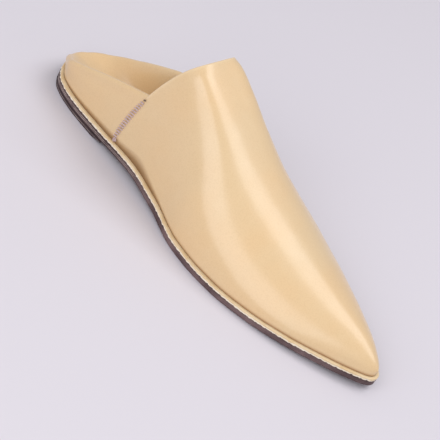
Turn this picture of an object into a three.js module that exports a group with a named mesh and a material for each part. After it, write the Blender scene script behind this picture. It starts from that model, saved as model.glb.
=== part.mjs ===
// Babouche slipper for the right foot: a pointed leather slip-on whose back is folded down.
// Millimetres. +X points to the toe, +Y to the inner (big toe) side, +Z up.
// The origin lies on the floor, under the middle of the slipper.

import * as THREE from 'three';

// ---- Driving sizes ----------------------------------------------------------------------

const LENGTH = 265; // the outsole, from heel to toe tip
const GAP = 0.3; // left between pieces that are glued or lasted together
const WALL = 1.6; // the leather of the upper
const INSOLE = 1.2; // the sock that the foot stands on
const WELT = 2.0; // the pale leather strip between outsole and upper
const OUTSOLE = 3.2; // the dark outsole
const LIFT_FRONT = 60; // where the heel lift ends, from the heel
const LIFT_SLOPE = 9; // length of the slant at the front of the lift
const LIFT_NOSE = 0.8; // share of its height that the slant takes off
const LEDGE = 1.5; // how far the welt shows outside the upper

const SEAM_FOOT = 65.5; // side seam at the welt, from the heel
const SEAM_TOP = 70; // side seam at its top, from the heel
const SEAM_RISE = 35; // height of the side seam above the welt
const COLLAR_TOP = 85.5; // middle of the collar, from the heel
const COLLAR_SWEEP = 0.62; // below 1 the collar sweeps forward soon above the seam

const FOLD_RADIUS = 2.4; // outside of the bend where the back is folded down
const FOLD_BACK = 4.8; // top of the fold above the upper's lower edge, at the heel
const FOLD_SIDE = SEAM_RISE + FOLD_RADIUS; // the same at the side seams
const FOLD_BULGE = 2.0; // how far the folded back stands out past its own foot
const FOLD_CURVE_OUTER = 0.75; // below 1 the fold climbs early from the heel, above 1 late
const FOLD_CURVE_INNER = 1.2;
const FOLD_SWELL = 3.5; // how far the inner side's fold stands up before its seam
const FOLD_TURN_HEEL = 95; // how far the leather bends over at the heel, in degrees
const FOLD_TURN_SIDE = 150; // and at the seams
const FLAP_REACH = 60; // where the flap's free edge crosses the insole, from the heel
const FLAP_RISE = 26; // how far that edge would climb beyond the seams
const FLAP_INSET = 4.2; // from the upper's foot in to the ends of that edge, low down
const FLAP_LEAN = 2.4; // and how much further in at the seam's top
const FLAP_SHORT = 1.5; // how far that edge stays behind the seam's top
const FLAP_LEAVE = 0.9; // how straight the flap leaves the fold, of its length
const FLAP_ARRIVE = 0.6; // and how straight it comes to its edge
const FLAP_DROP = 0.8; // how steeply it comes down to its edge beside the seams

// The last, a row for each section. at: distance from the heel. outer, inner: half widths of
// the sole on the little toe side and the big toe side. under: height of the outsole's
// underside above the floor.
const SOLE_SECTIONS = [
  { at: 0, outer: 0, inner: 0, under: 2.6 },
  { at: 4, outer: 12.5, inner: 12.5, under: 2.5 },
  { at: 14, outer: 21.4, inner: 21.4, under: 2.4 },
  { at: 32, outer: 26, inner: 26, under: 2.4 },
  { at: 55, outer: 28, inner: 27.2, under: 2.9 },
  { at: 85, outer: 30.8, inner: 28.8, under: 4.5 },
  { at: 110, outer: 35.2, inner: 32.4, under: 2.6 },
  { at: 140, outer: 43.4, inner: 41.4, under: 0 },
  { at: 158, outer: 45.2, inner: 44.6, under: 0 },
  { at: 172, outer: 44.4, inner: 45.2, under: 0 },
  { at: 195, outer: 39.8, inner: 41.8, under: 0.5 },
  { at: 220, outer: 30.6, inner: 32.8, under: 1.6 },
  { at: 242, outer: 19.2, inner: 20.6, under: 2.8 },
  { at: 257, outer: 9.8, inner: 10.4, under: 3.6 },
  { at: LENGTH, outer: 0, inner: 0, under: 4 },
];

// The upper above the sole. ridge: height of its top line above the floor. round: how full the
// arch is, 2 for half an ellipse, less for a sharper ridge and more for a flat top. lean: how
// far the top line stands off the middle, to the big toe side. taper: how much narrower the
// sides are at the top than a full arch, as a share.
const ARCH_SECTIONS = [
  { at: 0, ridge: 85, round: 3.4, lean: 0, taper: 0.12 },
  { at: SEAM_TOP, ridge: 85, round: 3.4, lean: 0, taper: 0.12 },
  { at: 88, ridge: 81.5, round: 4.2, lean: 0, taper: 0.12 },
  { at: 104, ridge: 74, round: 3.5, lean: 0.5, taper: 0.08 },
  { at: 122, ridge: 63.3, round: 2.7, lean: 1, taper: 0.03 },
  { at: 145, ridge: 50.5, round: 2.2, lean: 1, taper: 0 },
  { at: 170, ridge: 41.5, round: 1.95, lean: 1, taper: 0 },
  { at: 195, ridge: 34, round: 1.8, lean: 1, taper: 0 },
  { at: 220, ridge: 28, round: 1.75, lean: 1, taper: 0 },
  { at: 242, ridge: 23.5, round: 1.8, lean: 1, taper: 0 },
  { at: 257, ridge: 18, round: 1.85, lean: 0.5, taper: 0 },
  { at: LENGTH, ridge: 9.5, round: 2, lean: 0, taper: 0 },
];

// How finely the surfaces are divided.
const SOLE_STEPS = 40;
const ACROSS_STEPS = 4;
const VAMP_STEPS = 26;
const SEAM_STEPS = 5;
const ARCH_STEPS = 8; // from the seam's top up to the ridge
const LIFT_STEPS = 18;
const TOE_CROWDING = 0.93; // how much closer the sections of the vamp lie at the toe
const BACK_STEPS = 32;
const FOLD_STEPS = 4;
const FLAP_STEPS = 8;

// ---- Small mathematics ------------------------------------------------------------------

const mix = (a, b, t) => a + (b - a) * t;
const clamp01 = (t) => Math.min(1, Math.max(0, t));

function ease(from, to, x) {
  const t = clamp01((x - from) / (to - from));
  return t * t * (3 - 2 * t);
}

// A distance from the heel as an angle, so that a width that grows evenly with the angle
// closes in a round heel and a round toe.
const roundCoordinate = (at) => Math.acos(1 - (2 * clamp01(at / LENGTH)));

// A curve through one column of a table, without overshoot (monotone cubic).
function column(rows, key) {
  const x = rows.map((row) => roundCoordinate(row.at));
  const y = rows.map((row) => row[key]);
  const last = x.length - 1;
  const rise = x.slice(1).map((_, i) => (y[i + 1] - y[i]) / (x[i + 1] - x[i]));
  const slope = x.map((_, i) => {
    if (i === 0) return rise[0];
    if (i === last) return rise[last - 1];
    const before = rise[i - 1];
    const after = rise[i];
    return before * after <= 0 ? 0 : (2 * before * after) / (before + after);
  });
  return (at) => {
    const u = roundCoordinate(at);
    let i = 0;
    while (i < last - 1 && u > x[i + 1]) i += 1;
    const width = x[i + 1] - x[i];
    const t = clamp01((u - x[i]) / width);
    const start = (1 + 2 * t) * (1 - t) ** 2 * y[i] + t * (1 - t) ** 2 * width * slope[i];
    const end = t * t * (3 - 2 * t) * y[i + 1] + t * t * (t - 1) * width * slope[i + 1];
    return start + end;
  };
}

// The same outline drawn a distance further in, also round its two ends.
function insetOutline(half, distance) {
  const probe = 0.05;
  return (at) => {
    const here = half(at);
    const growth = (half(at + probe) ** 2 - half(at - probe) ** 2) / (4 * probe);
    const squared = here ** 2 - 2 * distance * Math.hypot(here, growth) + distance ** 2;
    return Math.sqrt(Math.max(0, squared));
  };
}

// ---- Outlines and heights of the last ---------------------------------------------------

const outerEdge = column(SOLE_SECTIONS, 'outer');
const innerEdge = column(SOLE_SECTIONS, 'inner');
const underside = column(SOLE_SECTIONS, 'under');
const ridge = column(ARCH_SECTIONS, 'ridge');
const roundness = column(ARCH_SECTIONS, 'round');
const ridgeLean = column(ARCH_SECTIONS, 'lean');
const taper = column(ARCH_SECTIONS, 'taper');

const weltTop = (at) => underside(at) + OUTSOLE + GAP + WELT;
const upperSeat = (at) => weltTop(at) + GAP;
const outerFoot = insetOutline(outerEdge, LEDGE);
const innerFoot = insetOutline(innerEdge, LEDGE);

// ---- Meshes -----------------------------------------------------------------------------

// Triangles that share their corners, wherever two corners are in the same place.
class Shell {
  constructor() {
    this.corners = [];
    this.triangles = [];
    this.known = new Map();
  }

  corner(point) {
    const key = point.toArray().map((value) => Math.round(value * 1e4)).join();
    if (!this.known.has(key)) {
      this.known.set(key, this.corners.length);
      this.corners.push(point.clone());
    }
    return this.known.get(key);
  }

  triangle(a, b, c) {
    if (a !== b && b !== c && c !== a) this.triangles.push([a, b, c]);
  }

  quad(a, b, c, d) {
    const short = this.corners[a].distanceTo(this.corners[c]);
    if (short <= this.corners[b].distanceTo(this.corners[d])) {
      this.triangle(a, b, c);
      this.triangle(a, c, d);
    } else {
      this.triangle(a, b, d);
      this.triangle(b, c, d);
    }
  }

  // Joins neighbouring rows of corners into a sheet.
  sheet(rows) {
    for (let i = 1; i < rows.length; i += 1) {
      for (let j = 1; j < rows[i].length; j += 1) {
        this.quad(rows[i - 1][j - 1], rows[i - 1][j], rows[i][j], rows[i][j - 1]);
      }
    }
  }

  // The way out of each corner: that of its triangles, each by its angle at the corner.
  normals() {
    const normals = this.corners.map(() => new THREE.Vector3());
    this.triangles.forEach((triangle) => {
      const points = triangle.map((corner) => this.corners[corner]);
      const out = new THREE.Triangle(...points).getNormal(new THREE.Vector3());
      triangle.forEach((corner, k) => {
        const after = points[(k + 1) % 3].clone().sub(points[k]);
        const before = points[(k + 2) % 3].clone().sub(points[k]);
        normals[corner].addScaledVector(out, after.angleTo(before));
      });
    });
    return normals.map((normal) => normal.normalize());
  }

  geometry() {
    const geometry = new THREE.BufferGeometry();
    const values = this.corners.flatMap((point) => point.toArray());
    geometry.setAttribute('position', new THREE.Float32BufferAttribute(values, 3));
    geometry.setIndex(this.triangles.flat());
    geometry.computeVertexNormals();
    return geometry;
  }
}

// A flat layer of the sole between two heights, from one distance from the heel to another.
// A pointed end closes by itself, and a cut end is closed by a face.
function layer({ from, to, outer, inner, bottom, top, steps }) {
  const shell = new Shell();
  const rings = [];
  for (let i = 0; i <= steps; i += 1) {
    const at = mix(from, to, (1 - Math.cos((Math.PI * i) / steps)) / 2);
    const left = at === from && outer(at) < 1 ? 0 : -outer(at);
    const right = inner(at);
    const ring = [];
    for (let j = 0; j <= ACROSS_STEPS; j += 1) {
      ring.push(new THREE.Vector3(at, mix(left, right, j / ACROSS_STEPS), bottom(at)));
    }
    for (let j = ACROSS_STEPS; j >= 0; j -= 1) {
      ring.push(new THREE.Vector3(at, mix(left, right, j / ACROSS_STEPS), top(at)));
    }
    ring.push(ring[0]);
    rings.push(ring.map((point) => shell.corner(point)));
  }
  shell.sheet(rings);
  closeEnd(shell, rings[0], false);
  closeEnd(shell, rings[steps], true);
  return shell.geometry();
}

function closeEnd(shell, ring, facesToe) {
  const upper = 2 * ACROSS_STEPS + 1;
  for (let j = 0; j < ACROSS_STEPS; j += 1) {
    const corners = [ring[j], ring[j + 1], ring[upper - j - 1], ring[upper - j]];
    if (!facesToe) corners.reverse();
    shell.quad(...corners);
  }
}

// ---- The sole ---------------------------------------------------------------------------

function outsoleShape() {
  return layer({
    from: 0,
    to: LENGTH,
    outer: outerEdge,
    inner: innerEdge,
    bottom: underside,
    top: (at) => underside(at) + OUTSOLE,
    steps: SOLE_STEPS,
  });
}

function weltShape() {
  return layer({
    from: 0,
    to: LENGTH,
    outer: outerEdge,
    inner: innerEdge,
    bottom: (at) => underside(at) + OUTSOLE + GAP,
    top: weltTop,
    steps: SOLE_STEPS,
  });
}

// The lift is flat below and slants up to the outsole at its front.
function heelLiftShape() {
  const top = (at) => underside(at) - GAP;
  const slantStart = LIFT_FRONT - LIFT_SLOPE;
  return layer({
    from: 0,
    to: LIFT_FRONT,
    outer: outerEdge,
    inner: innerEdge,
    bottom: (at) => LIFT_NOSE * top(at) * clamp01((at - slantStart) / LIFT_SLOPE),
    top,
    steps: LIFT_STEPS,
  });
}

// The insole fills the floor inside the upper.
function insoleShape() {
  const inset = LEDGE + WALL + 2 * GAP;
  return layer({
    from: inset,
    to: LENGTH - inset,
    outer: insetOutline(outerEdge, inset),
    inner: insetOutline(innerEdge, inset),
    bottom: (at) => weltTop(at) + GAP,
    top: (at) => weltTop(at) + GAP + INSOLE,
    steps: SOLE_STEPS,
  });
}

// ---- The upper --------------------------------------------------------------------------

// The outer face of the vamp. turn runs from 0 at the outer foot over 90 at the ridge to 180
// at the inner foot, in degrees.
function archPoint(at, turn) {
  const angle = THREE.MathUtils.degToRad(turn);
  const power = 2 / roundness(at);
  const side = Math.max(0, Math.abs(Math.cos(angle))) ** power;
  const climb = Math.max(0, Math.sin(angle)) ** power;
  const half = turn < 90 ? -outerFoot(at) : innerFoot(at);
  const seat = upperSeat(at);
  return new THREE.Vector3(
    at,
    half * side * (1 - taper(at) * climb) + ridgeLean(at) * climb,
    seat + (ridge(at) - seat) * climb,
  );
}

// The turn at which the arch beside the seam has risen to the seam's top.
function seamTopTurn() {
  const rise = ridge(SEAM_TOP) - upperSeat(SEAM_TOP);
  const sine = (SEAM_RISE / rise) ** (roundness(SEAM_TOP) / 2);
  return THREE.MathUtils.radToDeg(Math.asin(sine));
}

// The rows of the vamp: the same turns at every section, closest over the ridge.
function vampTurns() {
  const top = seamTopTurn();
  const turns = [];
  for (let j = 0; j <= SEAM_STEPS; j += 1) turns.push((top * j) / SEAM_STEPS);
  for (let j = 1; j <= ARCH_STEPS; j += 1) turns.push(mix(top, 90, j / ARCH_STEPS));
  const otherSide = turns.slice(0, -1).reverse().map((turn) => 180 - turn);
  return turns.concat(otherSide);
}

// Where the vamp begins at its back: the side seam, and above it the collar.
function vampStart(turn) {
  const top = seamTopTurn();
  const fromFoot = Math.min(turn, 180 - turn);
  if (fromFoot <= top) return mix(SEAM_FOOT, SEAM_TOP, fromFoot / top);
  const part = (fromFoot - top) / (90 - top);
  return mix(SEAM_TOP, COLLAR_TOP, ease(0, 1, part ** COLLAR_SWEEP));
}

function vampRows() {
  const tip = LENGTH - LEDGE;
  return vampTurns().map((turn) => {
    const row = [];
    for (let i = 0; i <= VAMP_STEPS; i += 1) {
      const along = Math.sin((Math.PI / 2) * (i / VAMP_STEPS));
      const at = mix(vampStart(turn), tip, mix(i / VAMP_STEPS, along, TOE_CROWDING));
      row.push(i === VAMP_STEPS ? new THREE.Vector3(tip, 0, upperSeat(tip)) : archPoint(at, turn));
    }
    return row;
  });
}

// The back of the upper. around runs from -1 at the outer seam over 0 at the heel to 1 at the
// inner seam. Each column climbs the wall, bends over the fold and runs down the flap.
const backStation = (around) => {
  const turn = (Math.PI / 2) * Math.abs(around);
  return mix(LEDGE, SEAM_FOOT, 1 - Math.cos(turn));
};

function backFoot(around) {
  const at = backStation(around);
  const half = around < 0 ? -outerFoot(at) : innerFoot(at);
  return new THREE.Vector2(at, Math.abs(around) < 1e-6 ? 0 : half);
}

// The level direction out of the heel, turned square to the side at the seams.
function outwards(around) {
  const step = 0.08; // wide, so that the two sides of the heel even out
  const ahead = backFoot(Math.min(1, around + step));
  const along = ahead.sub(backFoot(Math.max(-1, around - step)));
  const normal = new THREE.Vector2(-along.y, along.x).normalize();
  const square = new THREE.Vector2(0, Math.sign(around));
  return normal.lerp(square, ease(0.6, 1, Math.abs(around))).normalize();
}

const foldTop = (around) => {
  const along = (backStation(around) - LEDGE) / (SEAM_FOOT - LEDGE);
  const even = mix(FOLD_BACK, FOLD_SIDE, along ** (around < 0 ? FOLD_CURVE_OUTER : FOLD_CURVE_INNER));
  return even + FOLD_SWELL * ease(0.3, 0.8, around) * (1 - ease(0.85, 1, around));
};

function wallPoint(around, turn) {
  const top = seamTopTurn();
  const seamClimb = archPoint(vampStart(turn), turn);
  const seamFoot = archPoint(vampStart(turn), 0);
  const part = (seamClimb.z - seamFoot.z) / SEAM_RISE;
  const leanIn = (seamClimb.y - seamFoot.y) * ease(0.2, 1, Math.abs(around));
  const bulge = FOLD_BULGE * (1 - ease(0.35, 0.8, Math.abs(around)));
  const slant = (vampStart(turn) - SEAM_FOOT) * Math.abs(around) ** 4;
  const foot = backFoot(around);
  const out = outwards(around);
  const offset = bulge * Math.sin((Math.PI / 2) * (turn / top)) - leanIn;
  const at = foot.x + out.x * offset + slant;
  const height = (foldTop(around) - FOLD_RADIUS) * part;
  return new THREE.Vector3(at, foot.y + out.y * offset, upperSeat(foot.x + slant) + height);
}

// The flap's free edge: low across the insole, and climbing to the seams at both sides.
function flapEdge(around) {
  const far = Math.abs(around);
  const at = mix(FLAP_REACH, SEAM_TOP - FLAP_SHORT, far ** 1.5);
  const rest = INSOLE + GAP + WALL;
  const climb = rest + FLAP_RISE * ease(0.35, 1.15, far) ** 1.3;
  const inset = FLAP_INSET + FLAP_LEAN * far * far;
  const half = (around < 0 ? outerFoot(at) : innerFoot(at)) - inset;
  const across = Math.sign(around) * half * Math.sin((Math.PI / 2) * far);
  return new THREE.Vector3(at, across, upperSeat(at) + climb);
}

// The fold and the flap, from the top of the wall to the free edge.
function foldedRows(around, wallTop) {
  const out = outwards(around);
  const inward = new THREE.Vector3(-out.x, -out.y, 0);
  const up = new THREE.Vector3(0, 0, 1);
  const far = Math.abs(around);
  const bend = THREE.MathUtils.degToRad(mix(FOLD_TURN_HEEL, FOLD_TURN_SIDE, ease(0, 0.8, far)));
  const points = [];
  for (let k = 1; k <= FOLD_STEPS; k += 1) {
    const angle = (bend * k) / FOLD_STEPS;
    const point = wallTop.clone();
    point.addScaledVector(inward, FOLD_RADIUS * (1 - Math.cos(angle)));
    point.addScaledVector(up, FOLD_RADIUS * Math.sin(angle));
    points.push(point);
  }
  const start = points[points.length - 1];
  const end = flapEdge(around);
  const reach = start.distanceTo(end);
  const leave = inward.clone().multiplyScalar(Math.sin(bend)).addScaledVector(up, Math.cos(bend));
  leave.multiplyScalar(FLAP_LEAVE * reach);
  const arrive = end.clone().sub(start).setZ(0).normalize();
  arrive.addScaledVector(up, -FLAP_DROP * ease(0.5, 1, far)).normalize();
  arrive.multiplyScalar(FLAP_ARRIVE * reach);
  for (let k = 1; k <= FLAP_STEPS; k += 1) {
    const t = k / FLAP_STEPS;
    const point = start.clone().multiplyScalar((1 + 2 * t) * (1 - t) ** 2);
    point.addScaledVector(leave, t * (1 - t) ** 2);
    point.addScaledVector(end, t * t * (3 - 2 * t));
    point.addScaledVector(arrive, t * t * (t - 1));
    points.push(point);
  }
  return points;
}

function backColumns() {
  const turns = vampTurns().slice(0, SEAM_STEPS + 1);
  const columns = [];
  for (let i = 0; i <= BACK_STEPS; i += 1) {
    const around = (2 * i) / BACK_STEPS - 1;
    const atSeam = i === 0 || i === BACK_STEPS;
    const wall = turns.map((turn) => {
      if (!atSeam) return wallPoint(around, turn);
      return archPoint(vampStart(turn), around < 0 ? turn : 180 - turn);
    });
    columns.push(wall.concat(foldedRows(around, wall[SEAM_STEPS])));
  }
  return columns;
}

// One hollow body of leather: the outer face, the same face moved in by the wall, and the rims
// that join them along the welt and round the opening.
function upperShape() {
  const face = new Shell();
  const vamp = vampRows().map((row) => row.map((point) => face.corner(point)));
  const back = backColumns().map((line) => line.map((point) => face.corner(point)));
  face.sheet(vamp);
  face.sheet(back);

  const count = face.corners.length;
  const footRim = [...vamp[0], ...vamp[vamp.length - 1].slice(0, -1).reverse()];
  footRim.push(...back.slice(0, -1).reverse().map((line) => line[0]));
  const mouthRim = vamp.slice(SEAM_STEPS, vamp.length - SEAM_STEPS).map((row) => row[0]);
  mouthRim.push(...back[back.length - 1].slice(SEAM_STEPS + 1));
  mouthRim.push(...back.slice(0, -1).reverse().map((line) => line[line.length - 1]));
  mouthRim.push(...back[0].slice(SEAM_STEPS).reverse().slice(1));

  const normals = face.normals();
  footRim.forEach((i) => normals[i].setZ(0).normalize());
  const inner = face.corners.map((point, i) => point.clone().addScaledVector(normals[i], -WALL));
  const outerTriangles = face.triangles.slice();
  face.corners.push(...inner);
  outerTriangles.forEach(([a, b, c]) => face.triangle(c + count, b + count, a + count));
  [footRim, mouthRim].forEach((rim, which) => {
    for (let i = 1; i < rim.length; i += 1) {
      const corners = [rim[i - 1], rim[i], rim[i] + count, rim[i - 1] + count];
      if (which === 0) corners.reverse();
      face.quad(...corners);
    }
  });
  return face.geometry();
}

// ---- The slipper ------------------------------------------------------------------------

const paleLeather = { color: '#e3c093', roughness: 0.55, metalness: 0 };
const weltLeather = { color: '#e4c9a0', roughness: 0.75, metalness: 0 };
const insoleLeather = { color: '#d9b688', roughness: 0.65, metalness: 0 };
const darkSole = { color: '#4a3b3a', roughness: 0.7, metalness: 0 };
const darkLift = { color: '#43363a', roughness: 0.7, metalness: 0 };

function piece(name, geometry, finish) {
  const mesh = new THREE.Mesh(geometry, new THREE.MeshStandardMaterial(finish));
  mesh.name = name;
  return mesh;
}

const slipper = new THREE.Group();
slipper.add(piece('outsole', outsoleShape(), darkSole));
slipper.add(piece('heel_lift', heelLiftShape(), darkLift));
slipper.add(piece('welt', weltShape(), weltLeather));
slipper.add(piece('insole', insoleShape(), insoleLeather));
slipper.add(piece('upper', upperShape(), paleLeather));

// The origin lies under the middle of the whole slipper.
const middle = new THREE.Box3().setFromObject(slipper).getCenter(new THREE.Vector3());
slipper.position.set(-middle.x, -middle.y, 0);

export default slipper;
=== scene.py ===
# %% [markdown]
# A leather babouche slipper, worked out as a lesson.
#
# A babouche is a pointed slip-on. Its sole is a dark leather outsole with a pale leather welt on
# it, its upper is one soft shell of tan leather with a seam at each side, and its back is folded
# down inside so that the heel slips in. The CAD model gives the place and the size of each of
# these pieces. Here each is made again, finer, from the same few tables of the last.

# %% Load the frame
import math

import bpy
import numpy as np
from mathutils import Matrix, Vector


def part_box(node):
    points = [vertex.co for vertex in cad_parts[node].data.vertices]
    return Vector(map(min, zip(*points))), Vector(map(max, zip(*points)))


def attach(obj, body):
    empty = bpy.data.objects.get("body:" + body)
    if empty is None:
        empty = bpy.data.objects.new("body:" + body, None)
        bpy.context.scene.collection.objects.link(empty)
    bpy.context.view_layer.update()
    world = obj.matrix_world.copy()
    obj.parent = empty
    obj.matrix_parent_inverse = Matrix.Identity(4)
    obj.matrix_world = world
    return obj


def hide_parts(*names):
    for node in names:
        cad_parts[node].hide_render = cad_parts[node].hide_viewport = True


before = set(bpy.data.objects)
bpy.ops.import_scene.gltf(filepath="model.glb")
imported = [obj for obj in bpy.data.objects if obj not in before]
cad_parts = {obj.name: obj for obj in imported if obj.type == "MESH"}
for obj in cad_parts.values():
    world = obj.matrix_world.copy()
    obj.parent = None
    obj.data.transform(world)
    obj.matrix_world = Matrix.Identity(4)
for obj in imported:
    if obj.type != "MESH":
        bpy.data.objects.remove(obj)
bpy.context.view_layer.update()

# %% [markdown]
# All shapes are worked out in millimetres from the back of the heel, as a shoemaker measures a
# last: `at` is the distance from the heel, y runs to the big toe's side, and z is the height
# over the floor. Only the last step, where a mesh is made, moves a shape onto the frame and
# turns it into metres.

# %% The slipper's sizes, in millimetres
MM = 0.001
HEEL_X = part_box("outsole")[0].x / MM
LENGTH = (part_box("outsole")[1].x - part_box("outsole")[0].x) / MM

GAP = 0.3
WALL = 1.6
INSOLE = 1.2
WELT = 2.0
OUTSOLE = 3.2
LEDGE = 1.5
LIFT_FRONT = 60
LIFT_SLOPE = 9

SEAM_FOOT = 65.5
SEAM_TOP = 70
SEAM_RISE = 35
COLLAR_TOP = 85.5
FOLD_RADIUS = 2.4
FOLD_BACK = 4.8
FOLD_SIDE = SEAM_RISE + FOLD_RADIUS
FOLD_BULGE = 2.0
FOLD_CURVE_OUTER = 0.75
FOLD_CURVE_INNER = 1.2
FOLD_SWELL = 3.5
FLAP_REACH = 60
FLAP_RISE = 26
FLAP_INSET = 4.2
FLAP_LEAN = 2.4
FLAP_END = SEAM_TOP - 1.5

SOLE_SECTIONS = {
    "at": (0, 4, 14, 32, 55, 85, 110, 140, 158, 172, 195, 220, 242, 257, 265),
    "outer": (0, 12.5, 21.4, 26, 28, 30.8, 35.2, 43.4, 45.2, 44.4, 39.8, 30.6, 19.2, 9.8, 0),
    "inner": (0, 12.5, 21.4, 26, 27.2, 28.8, 32.4, 41.4, 44.6, 45.2, 41.8, 32.8, 20.6, 10.4, 0),
    "under": (2.6, 2.5, 2.4, 2.4, 2.9, 4.5, 2.6, 0, 0, 0, 0.5, 1.6, 2.8, 3.6, 4),
}
ARCH_SECTIONS = {
    "at": (0, 70, 88, 104, 122, 145, 170, 195, 220, 242, 257, 265),
    "ridge": (85, 85, 81.5, 74, 63.3, 50.5, 41.5, 34, 28, 23.5, 18, 9.5),
    "round": (3.4, 3.4, 4.2, 3.5, 2.7, 2.2, 1.95, 1.8, 1.75, 1.8, 1.85, 2),
    "lean": (0, 0, 0, 0.5, 1, 1, 1, 1, 1, 1, 0.5, 0),
    "taper": (0.12, 0.12, 0.12, 0.08, 0.03, 0, 0, 0, 0, 0, 0, 0),
}
print(f"sole {LENGTH:.1f} mm long, heel back at x = {HEEL_X:.1f} mm")

# %% [markdown]
# A table gives the last at a few stations. Between them runs a smooth curve that never swings
# past its own points. It is drawn over an angle and not over the length, so that a width that
# grows evenly with the angle closes in a round heel and a round toe.

# %% Curves through the tables
def mix(a, b, t):
    """A value between a and b: a at t = 0, b at t = 1."""
    return a + (b - a) * t


def ease(start, end, x):
    """Smooth step: 0 before start, 1 after end, and level at both."""
    t = np.clip((x - start) / (end - start), 0, 1)
    return t * t * (3 - 2 * t)


def bell(x, middle, width):
    """1 at the middle, and a little over a third at a width away on both sides."""
    return np.exp(-(((x - middle) / width) ** 2))


def unit(vectors):
    """Each vector, along the last axis, at a length of one."""
    return vectors / np.linalg.norm(vectors, axis=-1, keepdims=True)


def hermite(t, start, leave, end, arrive):
    """The cubic from start (t = 0) to end (t = 1) with the slopes leave and arrive there."""
    near = (1 + 2 * t) * (1 - t) ** 2 * start + t * (1 - t) ** 2 * leave
    return near + t * t * (3 - 2 * t) * end + t * t * (t - 1) * arrive


def round_coordinate(at):
    """The distance from the heel as an angle, from 0 at the heel to pi at the toe."""
    return np.arccos(1 - 2 * np.clip(np.asarray(at, float) / LENGTH, 0, 1))


def column(table, key):
    """A monotone cubic through one column: each slope is the harmonic mean of its neighbours'."""
    x = round_coordinate(np.minimum(table["at"], LENGTH))
    y = np.array(table[key], float)
    rise = np.diff(y) / np.diff(x)
    before, after = rise[:-1], rise[1:]
    total = np.where(before * after > 0, before + after, 1)
    middle = np.where(before * after > 0, 2 * before * after / total, 0)
    slope = np.concatenate([rise[:1], middle, rise[-1:]])

    def curve(at):
        u = round_coordinate(at)
        i = np.clip(np.searchsorted(x, u, side="left") - 1, 0, len(x) - 2)
        width = x[i + 1] - x[i]
        t = np.clip((u - x[i]) / width, 0, 1)
        return hermite(t, y[i], width * slope[i], y[i + 1], width * slope[i + 1])

    return curve


INSET_PROBE = 0.05
END_STEPS = 4000


def inset_outline(half, distance):
    """The outline drawn a distance further in: h squared - 2 d |(h, h h')| + d squared."""
    def curve(at):
        here = half(at)
        growth = (half(at + INSET_PROBE) ** 2 - half(at - INSET_PROBE) ** 2) / (4 * INSET_PROBE)
        squared = here**2 - 2 * distance * np.hypot(here, growth) + distance**2
        return np.sqrt(np.maximum(0, squared))

    return curve


def outline_end(distance):
    """The last place where the outline, drawn in by a distance, still has a width."""
    at = np.linspace(LENGTH - 2 * distance, LENGTH, END_STEPS + 1)
    halves = [inset_outline(edge, distance)(at) for edge in (outer_edge, inner_edge)]
    return float(at[np.flatnonzero(np.minimum(*halves))[-1]])


outer_edge = column(SOLE_SECTIONS, "outer")
inner_edge = column(SOLE_SECTIONS, "inner")
underside = column(SOLE_SECTIONS, "under")
ridge = column(ARCH_SECTIONS, "ridge")
roundness = column(ARCH_SECTIONS, "round")
ridge_lean = column(ARCH_SECTIONS, "lean")
taper = column(ARCH_SECTIONS, "taper")
outer_foot = inset_outline(outer_edge, LEDGE)
inner_foot = inset_outline(inner_edge, LEDGE)
SIDE_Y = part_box("outsole")[0].y / MM + outer_edge(np.linspace(0, LENGTH, 2000)).max()


def welt_top(at):
    """Height of the welt's upper face over the floor."""
    return underside(at) + OUTSOLE + GAP + WELT


def upper_seat(at):
    """Height of the upper's lower edge over the floor."""
    return welt_top(at) + GAP


print(f"ball {outer_edge(165) + inner_edge(165):.1f} mm wide, ridge at the collar {ridge(88):.1f} mm")

# %% [markdown]
# A grid of points becomes a mesh in one call. Points that fall in the same place, such as the
# two edges of a closed ring or a whole row at a tip, are merged, so that seams and poles are
# closed. Each face points out of the piece by the order of the rows.

# %% From a grid to a mesh
def grid_faces(rows, columns, offset=0, close_rows=False, close_columns=False, flip=False):
    """Quads between neighbouring points of a rows x columns grid, as one array."""
    index = np.arange(rows * columns).reshape(rows, columns) + offset
    if close_rows:
        index = np.vstack([index, index[:1]])
    if close_columns:
        index = np.hstack([index, index[:, :1]])
    quads = np.stack([index[:-1, :-1], index[1:, :-1], index[1:, 1:], index[:-1, 1:]], axis=-1)
    quads = quads.reshape(-1, 4)
    return quads[:, ::-1] if flip else quads


def onto_frame(points):
    """Millimetres from the heel to metres in the frame."""
    return (np.asarray(points, float) + [HEEL_X, SIDE_Y, 0]) * MM


SAME_PLACE = 1e-3
NO_LENGTH = 1e-9
TINY = 1e-12


def shared_places(points):
    """The first point of each place, and for every point the number of its place."""
    keys = np.round(points / SAME_PLACE).astype(np.int64)
    _, first, same = np.unique(keys, axis=0, return_index=True, return_inverse=True)
    return first, same.reshape(-1)


def weld(points, faces):
    """Points that share a place become one, and a face that is left with three keeps those."""
    first, same = shared_places(points)
    faces = same[faces]
    differs = faces != np.roll(faces, -1, axis=1)
    whole = faces[differs.all(axis=1)]
    three = differs.sum(axis=1) == 3
    triangles = faces[three][differs[three]].reshape(-1, 3)
    return points[first], whole, triangles, first


def enclosed_volume(points, faces):
    """Sum over the faces' triangles of corner . (corner x corner) / 6."""
    fans = [faces[:, (0, k, k + 1)] for k in range(1, faces.shape[1] - 1)]
    a, b, c = (points[np.vstack(fans)[:, k]] for k in range(3))
    return float(np.einsum("ij,ij->", a, np.cross(b, c)) / 6)


def open_edges(quads, triangles):
    """How many edges don't lie between exactly two faces."""
    pairs = [
        np.column_stack([faces.ravel(), np.roll(faces, -1, axis=1).ravel()])
        for faces in (quads, triangles)
    ]
    _, uses = np.unique(np.sort(np.vstack(pairs), axis=1), axis=0, return_counts=True)
    return int((uses != 2).sum())


def into_scene(name, data):
    """A new object with this data, linked into the scene."""
    thing = bpy.data.objects.new(name, data)
    bpy.context.scene.collection.objects.link(thing)
    return thing


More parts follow.
